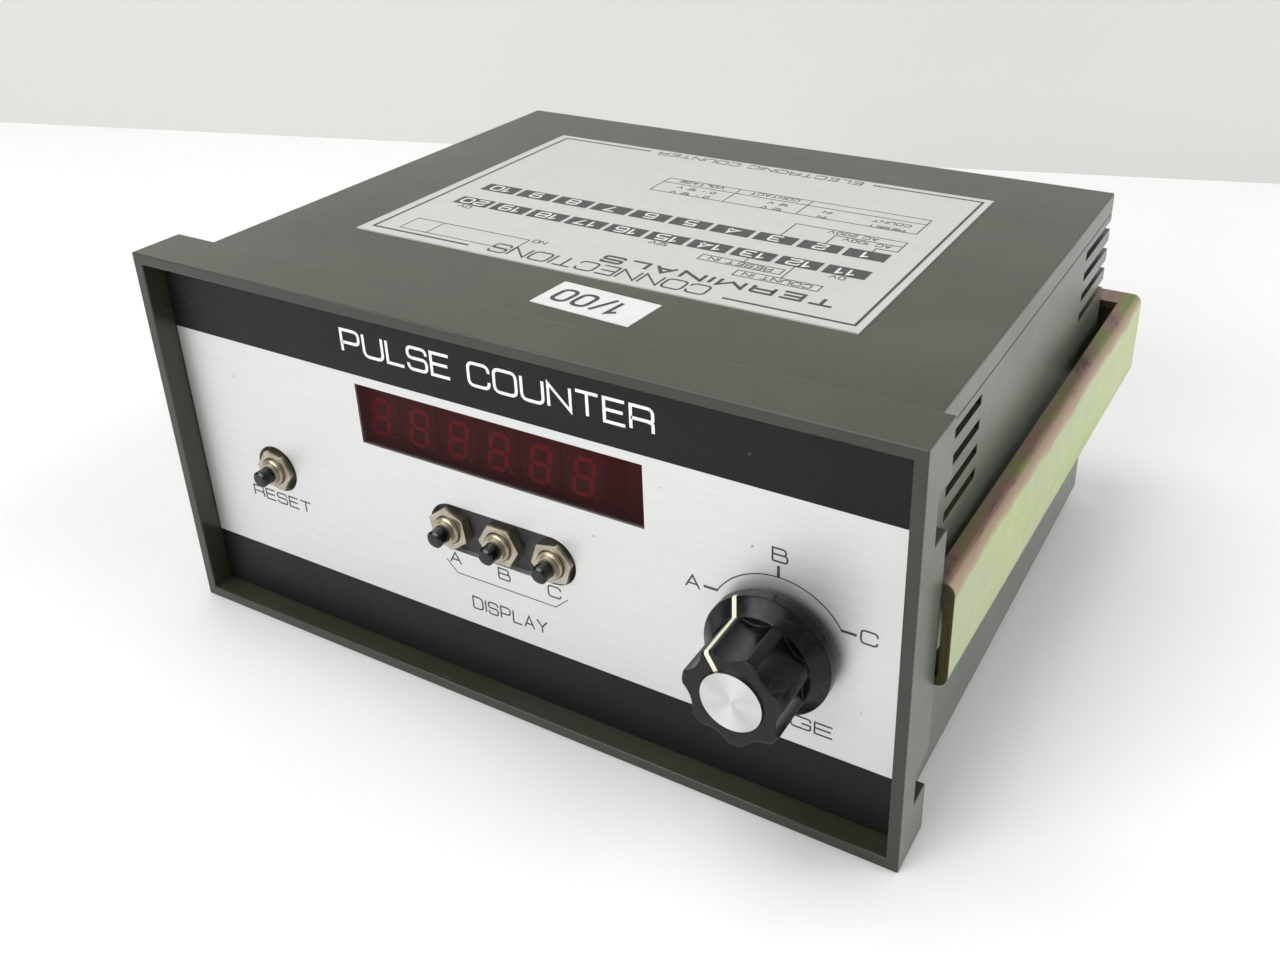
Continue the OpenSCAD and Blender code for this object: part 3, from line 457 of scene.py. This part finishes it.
# ---------------------------------------------------------------- lettering
# Each glyph: advance width, then strokes as points in a box one unit high; a third number rounds that corner.
R = 0.28    # the usual radius of a round letter's corner
GLYPHS = {
    "A": (0.95, [[(0, 0), (0.475, 1), (0.95, 0)], [(0.17, 0.33), (0.78, 0.33)]]),
    "B": (0.95, [[(0, 0), (0, 1), (0.85, 1, 0.22), (0.85, 0.53, 0.2), (0, 0.53)],
                 [(0.7, 0.53), (0.95, 0.53, 0.22), (0.95, 0, 0.22), (0, 0)]]),
    "C": (1.0, [[(1, 0.70), (1, 1, R), (0, 1, R), (0, 0, R), (1, 0, R), (1, 0.30)]]),
    "D": (1.0, [[(0, 0), (0, 1), (1, 1, 0.32), (1, 0, 0.32), (0, 0)]]),
    "E": (0.9, [[(0.9, 1), (0, 1), (0, 0), (0.9, 0)], [(0, 0.52), (0.82, 0.52)]]),
    "G": (1.0, [[(1, 0.74), (1, 1, R), (0, 1, R), (0, 0, R), (1, 0, R), (1, 0.46), (0.55, 0.46)]]),
    "I": (0.0, [[(0, 0), (0, 1)]]),
    "L": (0.85, [[(0, 1), (0, 0), (0.85, 0)]]),
    "M": (1.1, [[(0, 0), (0, 1), (0.55, 0.25), (1.1, 1), (1.1, 0)]]),
    "N": (1.0, [[(0, 0), (0, 1), (1, 0), (1, 1)]]),
    "O": (1.05, [[(0.5, 1), (0, 1, R), (0, 0, R), (1.05, 0, R), (1.05, 1, R), (0.5, 1)]]),
    "P": (0.95, [[(0, 0), (0, 1), (0.95, 1, 0.25), (0.95, 0.42, 0.25), (0, 0.42)]]),
    "R": (0.98, [[(0, 0), (0, 1), (0.95, 1, 0.25), (0.95, 0.46, 0.13), (0, 0.46)],
                 [(0.72, 0.44), (0.95, 0.42, 0.1), (0.95, 0)]]),
    "S": (0.95, [[(0.95, 0.74), (0.95, 1, 0.24), (0, 1, 0.24), (0, 0.52, 0.22),
                  (0.95, 0.52, 0.22), (0.95, 0, 0.24), (0, 0, 0.24), (0, 0.26)]]),
    "T": (1.0, [[(0, 1), (1, 1)], [(0.5, 1), (0.5, 0)]]),
    "U": (1.0, [[(0, 1), (0, 0, R), (1, 0, R), (1, 1)]]),
    "V": (1.0, [[(0, 1), (0.5, 0), (1, 1)]]),
    "Y": (1.0, [[(0, 1), (0.5, 0.48), (1, 1)], [(0.5, 0.48), (0.5, 0)]]),
    "0": (0.85, [[(0.4, 1), (0, 1, 0.3), (0, 0, 0.3), (0.85, 0, 0.3), (0.85, 1, 0.3), (0.4, 1)]]),
    "1": (0.4, [[(0, 0.78), (0.4, 1), (0.4, 0)]]),
    "2": (0.85, [[(0, 0.72), (0, 1, 0.25), (0.85, 1, 0.25), (0.85, 0.55, 0.22), (0, 0.4, 0.2),
                  (0, 0), (0.85, 0)]]),
    "3": (0.85, [[(0, 1), (0.85, 1, 0.22), (0.85, 0, 0.22), (0, 0)], [(0.2, 0.53), (0.8, 0.53)]]),
    "4": (0.9, [[(0.68, 0), (0.68, 1), (0, 0.28), (0.9, 0.28)]]),
    "5": (0.85, [[(0.8, 1), (0, 1), (0, 0.58), (0.85, 0.58, 0.24), (0.85, 0, 0.24), (0, 0)]]),
    "6": (0.85, [[(0.8, 1), (0, 1, 0.24), (0, 0, 0.24), (0.85, 0, 0.24), (0.85, 0.56, 0.24), (0, 0.56)]]),
    "7": (0.8, [[(0, 1), (0.8, 1), (0.3, 0)]]),
    "8": (0.85, [[(0.4, 1), (0, 1, 0.22), (0, 0, 0.24), (0.85, 0, 0.24), (0.85, 1, 0.22), (0.4, 1)],
                 [(0.05, 0.54), (0.8, 0.54)]]),
    "9": (0.85, [[(0.05, 0), (0.85, 0, 0.24), (0.85, 1, 0.24), (0, 1, 0.24), (0, 0.44, 0.24), (0.85, 0.44)]]),
    "/": (0.6, [[(0, -0.1), (0.6, 1.05)]]),
    "-": (0.5, [[(0, 0.5), (0.5, 0.5)]]),
    " ": (0.45, []),
}


def rounded(points, wide):
    """A stroke's points in units of height, x stretched by wide, with marked corners turned into arcs."""
    pts = [Vector((p[0] * wide, p[1])) for p in points]
    out = [pts[0]]
    for i in range(1, len(pts) - 1):
        r = points[i][2] if len(points[i]) > 2 else 0
        a, b, c = pts[i - 1], pts[i], pts[i + 1]
        if not r:
            out.append(b)
            continue
        u, v = a - b, c - b
        # a corner takes at most half of a side that it shares with another corner
        before = 0.5 if i > 1 else 0.95
        after = 0.5 if i < len(pts) - 2 else 0.95
        cut = min(r, u.length * before, v.length * after)
        p, q = b + u.normalized() * cut, b + v.normalized() * cut
        for k in range(7):
            s = k / 6
            out.append(p * (1 - s) ** 2 + b * 2 * s * (1 - s) + q * s ** 2)
    out.append(pts[-1])
    clean = [out[0]]
    for p in out[1:]:
        if (p - clean[-1]).length > 1e-5:
            clean.append(p)
    return clean


def ribbon(bm, pts, width, thick, place, closed=False):
    """A printed line through 2D points as a thin closed solid; place maps (u, v, w) to 3D."""
    n = len(pts)
    rings = []
    for i in range(n):
        prev = pts[(i - 1) % n] if (closed or i > 0) else None
        nxt = pts[(i + 1) % n] if (closed or i < n - 1) else None
        d0 = (pts[i] - prev).normalized() if prev is not None else None
        d1 = (nxt - pts[i]).normalized() if nxt is not None else None
        d0, d1 = d0 or d1, d1 or d0
        t = d0 + d1
        t = t.normalized() if t.length > 1e-6 else d0
        normal = Vector((-t.y, t.x))
        k = max(0.45, abs(normal.dot(Vector((-d0.y, d0.x)))))
        off = normal * (width / 2 / k)
        p = pts[i]
        rings.append([bm.verts.new(place(*(p + off), 0)), bm.verts.new(place(*(p - off), 0)),
                      bm.verts.new(place(*(p - off), thick)), bm.verts.new(place(*(p + off), thick))])
    for i in range(n if closed else n - 1):
        a, b = rings[i], rings[(i + 1) % n]
        for j in range(4):
            bm.faces.new((a[j], a[(j + 1) % 4], b[(j + 1) % 4], b[j]))
    if not closed:
        bm.faces.new(rings[0][::-1])
        bm.faces.new(rings[-1])


def new_piece(name, bm, mat, body, smooth=False):
    bmesh.ops.recalc_face_normals(bm, faces=bm.faces)
    mesh = bpy.data.meshes.new(name)
    bm.to_mesh(mesh)
    bm.free()
    for p in mesh.polygons:
        p.use_smooth = smooth
    o = bpy.data.objects.new(name, mesh)
    bpy.context.scene.collection.objects.link(o)
    mesh.materials.append(mat)
    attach(o, body)
    return o


def write(bm, text, u, v, height, width, place, wide=1.0, gap=0.28, slant=0.0, span=None):
    """Draws text with its baseline at v and its middle at u, in millimetres; span fixes its length."""
    advances = sum(GLYPHS[ch][0] for ch in text)
    gaps = gap * (len(text) - 1)
    if span:
        wide = (span / height - gaps) / advances
    x = u - (advances * wide + gaps) * height / 2
    for ch in text:
        adv, strokes = GLYPHS[ch]
        for k, s in enumerate(strokes):
            pts = [Vector((x + (p.x + slant * p.y) * height, v + p.y * height)) for p in rounded(s, wide)]
            ribbon(bm, pts, width, INK + STROKE_STEP * k, place)
        x += (adv * wide + gap) * height


plate_front = (PLATE_Y - FRONT) / MM


def on_plate(u, v, w):
    return at(u, plate_front - LIFT - w, v)


label_top = (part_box("connection_label")[1].z - MID_Z) / MM
sticker_top = (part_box("date_sticker")[1].z - MID_Z) / MM


def on_label(u, v, w):
    """Label lettering reads from the rear: u to the reader's right, v away from the reader."""
    return at(-u, -v, label_top + LABEL_LIFT + w)


INK_DARK = plain("ink_dark", srgb(40, 41, 46), srgb(54, 55, 60), (0.35, 0.5), scale=900, bump=0.05)
INK_WHITE = plain("ink_white", srgb(226, 226, 224), srgb(240, 240, 238), (0.4, 0.5), scale=900, bump=0.05)
INK_GREEN = plain("ink_label", srgb(38, 46, 42), srgb(54, 61, 56), (0.35, 0.5), scale=700, bump=0.05)
INK_LIGHT = plain("ink_label_light", srgb(200, 201, 195), srgb(210, 211, 205), (0.4, 0.5), scale=700,
                  bump=0.05)
SEGMENT = make_segment()

# front plate: heading, control names, dial
bm = bmesh.new()
write(bm, "PULSE COUNTER", 0.5, 25.15, 3.85, 0.54, on_plate, gap=0.26, span=59.2)
new_piece("heading", bm, INK_WHITE, "case")

bm = bmesh.new()
write(bm, "RESET", -50.6, -11.0, 2.1, 0.28, on_plate, gap=0.3, span=14.2)
for x, ch in ((-10.3, "A"), (-0.1, "B"), (10.0, "C")):
    write(bm, ch, x, -10.7, 2.1, 0.26, on_plate, wide=1.15)
write(bm, "DISPLAY", 0.2, -19.0, 2.4, 0.28, on_plate, gap=0.27, span=15.4)
write(bm, "RANGE", 50.1, -19.1, 2.1, 0.28, on_plate, gap=0.32, span=18.2)
line = [(-12.3, -10.4), (-10.2, -12.65), (10.1, -12.6), (12.6, -10.3)]
ribbon(bm, [Vector(p) for p in line], 0.16, INK, on_plate)
knob_lo, knob_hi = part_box("knob_disc")
KX = ((knob_lo.x + knob_hi.x) / 2) / MM
KZ = ((knob_lo.z + knob_hi.z) / 2 - MID_Z) / MM
ARC_R = 11.46
ARC_END = 60      # degrees each side of upright
TICK_TOP_R = 13.4
TICK_SIDE = 2.3


def dial(angle, radius):
    """A point on the plate round the knob's centre, at an angle in degrees clockwise from upright."""
    a = math.radians(angle)
    return Vector((KX + radius * math.sin(a), KZ + radius * math.cos(a)))


ribbon(bm, [dial(a, ARC_R) for a in range(-ARC_END, ARC_END + 1, 3)], 0.2, INK, on_plate)
for a in (-ARC_END, 0, ARC_END):
    end = dial(a, ARC_R)
    tip = dial(0, TICK_TOP_R) if a == 0 else end + Vector((math.copysign(TICK_SIDE, a), 0.0))
    ribbon(bm, [end - (tip - end) * 0.04, tip], 0.44, INK, on_plate)
for ch, x, z in (("A", 35.9, 0.4), ("B", 50.2, 9.75), ("C", 64.1, 0.4)):
    write(bm, ch, x, z, 2.2, 0.28, on_plate, wide=1.12)
new_piece("plate_lettering", bm, INK_DARK, "case")

# seven-segment figures on the digit modules, sizes in mm
digit_lo, digit_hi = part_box("digit_modules")
digit_y = (digit_lo.y - FRONT) / MM
digit_z = ((digit_lo.z + digit_hi.z) / 2 - MID_Z) / MM
DIGITS = 6
DIGIT_W = 7.9
DIGIT_STEP = ((digit_hi.x - digit_lo.x) / MM - DIGIT_W) / (DIGITS - 1)
SLANT = math.tan(math.radians(9.5))
FIGURE_X, FIGURE_Z = 1.65, 3.25    # half the width and half the height of a figure
BAR_GAP = 0.12
BAR_HALF = 0.42
BAR_THICK = 0.05
BAR_LIFT = 0.01
DOT_HALF = 0.36
DOT_X = 1.1
# the ends of the seven bars, in halves of the figure's width and height
BARS = (((-1, 1), (1, 1)), ((-1, 0), (1, 0)), ((-1, -1), (1, -1)), ((-1, 1), (-1, 0)), ((1, 1), (1, 0)),
        ((-1, 0), (-1, -1)), ((1, 0), (1, -1)))


def on_digit(u, v, w):
    return at(u, digit_y - BAR_LIFT - w, v)


def segment(bm, a, b, half):
    """One bar of a figure: a flat hexagonal prism from a to b."""
    d = (b - a).normalized()
    n = Vector((-d.y, d.x))
    pts = [a, a + d * half + n * half, b - d * half + n * half,
           b, b - d * half - n * half, a + d * half - n * half]
    lo = [bm.verts.new(on_digit(p.x, p.y, 0)) for p in pts]
    hi = [bm.verts.new(on_digit(p.x, p.y, BAR_THICK)) for p in pts]
    bm.faces.new(lo)
    bm.faces.new(hi[::-1])
    for i in range(6):
        j = (i + 1) % 6
        bm.faces.new((lo[i], lo[j], hi[j], hi[i]))


def figure(bm, cx):
    """Seven leaning bars and a point, centred at cx."""
    def lean(u, v):
        return Vector((cx + u + v * SLANT, digit_z + v))

    for a, b in BARS:
        p = lean(a[0] * FIGURE_X, a[1] * FIGURE_Z)
        q = lean(b[0] * FIGURE_X, b[1] * FIGURE_Z)
        d = (q - p).normalized() * BAR_GAP
        segment(bm, p + d, q - d, BAR_HALF)
    dot = lean(FIGURE_X + DOT_X, -FIGURE_Z)
    segment(bm, dot - Vector((BAR_HALF, 0)), dot + Vector((BAR_HALF, 0)), DOT_HALF)


bm = bmesh.new()
for i in range(DIGITS):
    figure(bm, digit_lo.x / MM + DIGIT_W / 2 + i * DIGIT_STEP)
new_piece("digit_segments", bm, SEGMENT, "case")

# connection label: x to the viewer's right, y to the rear, mm
label = bmesh.new()
light = bmesh.new()
BORDER_X, BORDER_Y0, BORDER_Y1 = 48.1, 33.7, 96.4
BORDER = 0.52
LINE = 0.22
COLUMNS = 10
BOX_X, BOX_STEP, BOX_HALF = 38.65, 8.69, 3.9
BOX_LIFT = 0.028    # the light numbers lie on the printed boxes
NUMBER_INSET = 0.75


def on_box(u, v, w):
    return on_label(u, v, BOX_LIFT + w)


def trace(points, width=LINE, closed=False):
    ribbon(label, [Vector((-x, -y)) for x, y in points], width, INK, on_label, closed)


def frame_box(x0, y0, x1, y1, width=LINE):
    trace([(x0, y0), (x1, y0), (x1, y1), (x0, y1)], width, closed=True)


def note(text, x, y, height, width=LINE, wide=1.05, gap=0.34):
    write(label, text, -x, -y, height, width, on_label, wide=wide, gap=gap)


trace([(-26.0, BORDER_Y0), (-BORDER_X, BORDER_Y0), (-BORDER_X, BORDER_Y1), (-26.0, BORDER_Y1)], BORDER)
trace([(25.2, BORDER_Y0), (BORDER_X, BORDER_Y0), (BORDER_X, BORDER_Y1), (25.6, BORDER_Y1)], BORDER)
write(label, "CONNECTIONS", -0.1, -36.8, 3.6, 0.42, on_label, gap=0.24, span=43.4)
write(label, "TERMINALS", -20.6, -40.7, 2.5, 0.66, on_label, gap=0.62, span=43.2)
write(label, "ELECTRONIC COUNTER", 0.2, -97.2, 1.9, 0.3, on_label, gap=0.34, span=47.0)
for k in range(COLUMNS):
    cx = BOX_X - BOX_STEP * k
    for first, y0, y1 in ((11, 50.7, 54.5), (1, 59.3, 63.1)):
        middle = (y0 + y1) / 2
        trace([(cx - BOX_HALF, middle), (cx + BOX_HALF, middle)], y1 - y0)
        write(light, str(first + k), -cx, -y1 + NUMBER_INSET, 2.3, 0.46, on_box, wide=1.15, gap=0.42)
# inputs
frame_box(22.1, 42.9, 37.6, 45.2)
note("COUNT IN", 29.8, 44.75, 1.35, 0.24)
frame_box(13.4, 46.5, 29.1, 48.8)
note("RESET IN", 21.2, 48.35, 1.35, 0.24)
trace([(30.0, 50.7), (30.0, 45.2)])
trace([(21.3, 50.7), (21.3, 48.8)])
note("0V", 38.2, 50.3, 1.2)
note("12V", 3.9, 50.3, 1.2)
note("0V", -39.6, 50.3, 1.2)
# supply
trace([(21.3, 63.1), (21.3, 69.8), (42.9, 69.8), (42.9, 64.8), (39.0, 64.8), (39.0, 63.1)], 0.23)
trace([(30.1, 63.1), (30.1, 67.4), (42.9, 67.4)], 0.23)
note("AC 100V", 36.6, 66.9, 1.15)
note("AC 200V", 33.0, 69.3, 1.15)
# table of input voltages
frame_box(-13.0, 74.5, 42.8, 82.5)
for x in (3.3, 18.9):
    trace([(x, 74.5), (x, 82.5)])
trace([(-13.0, 79.9), (42.8, 79.9)])
for x, y, text in ((36.8, 78.2, "COUNT"), (36.8, 75.4, "RESET"), (24.0, 78.2, "IN"), (24.0, 75.4, "IN"),
                   (11.2, 81.9, "CONTACT"), (-5.0, 81.9, "VOLTAGE"), (13.6, 78.4, "12 V"),
                   (13.6, 75.6, "12 V"), (-4.4, 78.4, "0 - 12 V"), (-4.4, 75.6, "0 - 12 V")):
    note(text, x, y + 0.2, 1.15, wide=1.0)
# number field, left blank
frame_box(-43.2, 35.2, -17.6, 40.6, 0.2)
trace([(-37.0, 35.2), (-37.0, 40.6)], 0.2)
note("NO", -15.4, 41.2, 1.2, wide=0.95, gap=0.3)
new_piece("label_print", label, INK_GREEN, "case")
new_piece("label_numbers", light, INK_LIGHT, "case")

# hand-written style figures on the small sticker
s_lo, s_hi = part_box("date_sticker")
STICKER = Vector(((s_lo.x + s_hi.x) / 2 / MM, ((s_lo.y + s_hi.y) / 2 - FRONT) / MM))
TURN = math.radians(-3.5)


def on_sticker(u, v, w):
    x = -(u * math.cos(TURN) - v * math.sin(TURN))
    y = -(u * math.sin(TURN) + v * math.cos(TURN))
    return at(STICKER.x + x, STICKER.y + y, sticker_top + LIFT + w)


bm = bmesh.new()
write(bm, "1/00", 1.0, -2.15, 4.4, 0.74, on_sticker, wide=0.72, gap=0.3, slant=0.06)
new_piece("sticker_figures", bm, INK_DARK, "case")

# terminal numbers on the rear panel
rear_y = (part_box("rear_panel")[1].y - FRONT) / MM


def on_rear(u, v, w):
    return at(-u, rear_y + LIFT + w, v)


PLATE_HALF = 4.2      # from the end of a row of terminals to the middle of the first one
UPPER_Z, LOWER_Z = 16.6, -20.4
bm = bmesh.new()
plates_lo, plates_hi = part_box("terminal_plates")
first_x, last_x = plates_hi.x / MM - PLATE_HALF, plates_lo.x / MM + PLATE_HALF
for k in range(COLUMNS):
    x = first_x + (last_x - first_x) * k / (COLUMNS - 1)
    for first, z in ((11, UPPER_Z), (1, LOWER_Z)):
        write(bm, str(first + k), -x, z, 1.9, 0.28, on_rear, gap=0.35)
new_piece("rear_numbers", bm, INK_WHITE, "case")

# return springs: round wire coils in place of the CAD springs
WIRE_R = 0.2 * MM
TURNS = 6
TURN_STEPS = 20
WIRE_SIDES = 8


def coil(name, node):
    """A helix of round wire in place of a CAD spring, running the length of the spring's box."""
    lo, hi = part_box(node)
    mid_r = (hi.x - lo.x) / 2 - WIRE_R
    cx, cz = (lo.x + hi.x) / 2, (lo.z + hi.z) / 2
    rise = hi.y - lo.y - 2 * WIRE_R
    steps = TURNS * TURN_STEPS
    bm = bmesh.new()
    rings = []
    for i in range(steps + 1):
        turn = 2 * math.pi * i / TURN_STEPS
        out = Vector((math.cos(turn), 0, math.sin(turn)))
        centre = Vector((cx, lo.y + WIRE_R + rise * i / steps, cz)) + out * mid_r
        ring = []
        for k in range(WIRE_SIDES):
            a = 2 * math.pi * k / WIRE_SIDES
            around = out * math.cos(a) + Vector((0, 1, 0)) * math.sin(a)
            ring.append(bm.verts.new(centre + around * WIRE_R))
        rings.append(ring)
    for a, b in zip(rings, rings[1:]):
        for k in range(WIRE_SIDES):
            j = (k + 1) % WIRE_SIDES
            bm.faces.new((a[k], a[j], b[j], b[k]))
    bm.faces.new(rings[0][::-1])
    bm.faces.new(rings[-1])
    o = new_piece(name, bm, MATS["spring_steel"], "case", smooth=True)
    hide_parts(node)
    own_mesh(o)


for tail in ("reset", "a", "b", "c"):
    coil("coil_" + tail, "spring_" + tail)

# ---------------------------------------------------------------- stage
floor_mat = Mat("floor_pale", Roughness=0.5, IOR=1.45)
floor_tone = floor_mat.noise(6, 5, 0.6)
floor_mat.set("Base Color", floor_mat.mix(floor_tone, srgb(224, 224, 224), srgb(234, 234, 234)))
floor_mat.bump(floor_mat.noise(60, 4, 0.6), 0.05, 0.0004)
wall_mat = Mat("wall_pale", Roughness=0.8)
wall_tone = wall_mat.mix(wall_mat.noise(5, 4, 0.6), srgb(192, 191, 187), srgb(199, 198, 194))
# painted light: the wall's colour gets lighter to the right, standing in for stronger light there
painted_light_right = wall_mat.above(wall_mat.axis(0), 0.0, 0.9)    # the wall gets lighter to the right
wall_mat.set("Base Color", wall_mat.mix(painted_light_right, wall_tone, srgb(222, 221, 217)))


def stage_plane(name, corners, mat):
    mesh = bpy.data.meshes.new(name)
    mesh.from_pydata([Vector(c) for c in corners], [], [(0, 1, 2, 3)])
    o = bpy.data.objects.new(name, mesh)
    mesh.materials.append(mat)
    bpy.context.scene.collection.objects.link(o)


# metres: the floor's half width and front edge, and the wall's two feet, turned to face the camera
STAGE_X, STAGE_FRONT = 1.9, -2.5
FLOOR_Z = cad_lo.z
BACK_L, BACK_R = Vector((-STAGE_X, -0.319, FLOOR_Z)), Vector((STAGE_X, 0.871, FLOOR_Z))
WALL = Vector((0, 0, 1.2))
stage_plane("floor", [(-STAGE_X, STAGE_FRONT, FLOOR_Z), (STAGE_X, STAGE_FRONT, FLOOR_Z), BACK_R, BACK_L],
            floor_mat.m)
stage_plane("wall", [BACK_L, BACK_R, BACK_R + WALL, BACK_L + WALL], wall_mat.m)


def area_light(name, place, target, size, power, colour=(1, 1, 1)):
    data = bpy.data.lights.new(name, "AREA")
    data.shape = "RECTANGLE"
    data.size, data.size_y = size
    data.energy = power
    data.color = colour
    o = bpy.data.objects.new(name, data)
    o.location = place
    o.rotation_mode = "QUATERNION"
    o.rotation_quaternion = (Vector(target) - Vector(place)).to_track_quat("-Z", "Y")
    bpy.context.scene.collection.objects.link(o)


AIM = (0, 0, 0.03)
area_light("key", (-0.38, -1.05, 0.62), AIM, (1.0, 0.7), 13.0, (1.0, 0.995, 0.99))
area_light("top", (-0.35, 0.12, 1.25), AIM, (1.0, 0.9), 10.5)
area_light("side", (1.05, 0.2, 0.8), (0, 0.05, 0.05), (0.9, 0.6), 4.6)
area_light("back", (0.95, 0.2, 1.0), (0.95, 0.25, 0), (0.5, 0.5), 4.0)
world = bpy.data.worlds.new("studio")
bpy.context.scene.world = world
world.use_nodes = True
background = world.node_tree.nodes["Background"]
background.inputs["Color"].default_value = (0.93, 0.95, 1.0, 1)
background.inputs["Strength"].default_value = 0.34

# ---------------------------------------------------------------- camera
CAMERA_PLACE = at(112.26, -126.93, 113.71)
CAMERA_TURN = (63.739, 0.753, 28.906)    # degrees
cam_data = bpy.data.cameras.new("camera")
cam = bpy.data.objects.new("camera", cam_data)
bpy.context.scene.collection.objects.link(cam)
bpy.context.scene.camera = cam
cam_data.sensor_width = 36.0
cam_data.lens = 35.09
cam_data.shift_x = -0.052
cam_data.shift_y = -0.1042
cam_data.clip_start, cam_data.clip_end = 0.01, 20
cam.location = CAMERA_PLACE
cam.rotation_euler = [math.radians(a) for a in CAMERA_TURN]

scene = bpy.context.scene
scene.view_settings.view_transform = "Standard"
scene.view_settings.look = "None"
scene.view_settings.exposure = 0.0
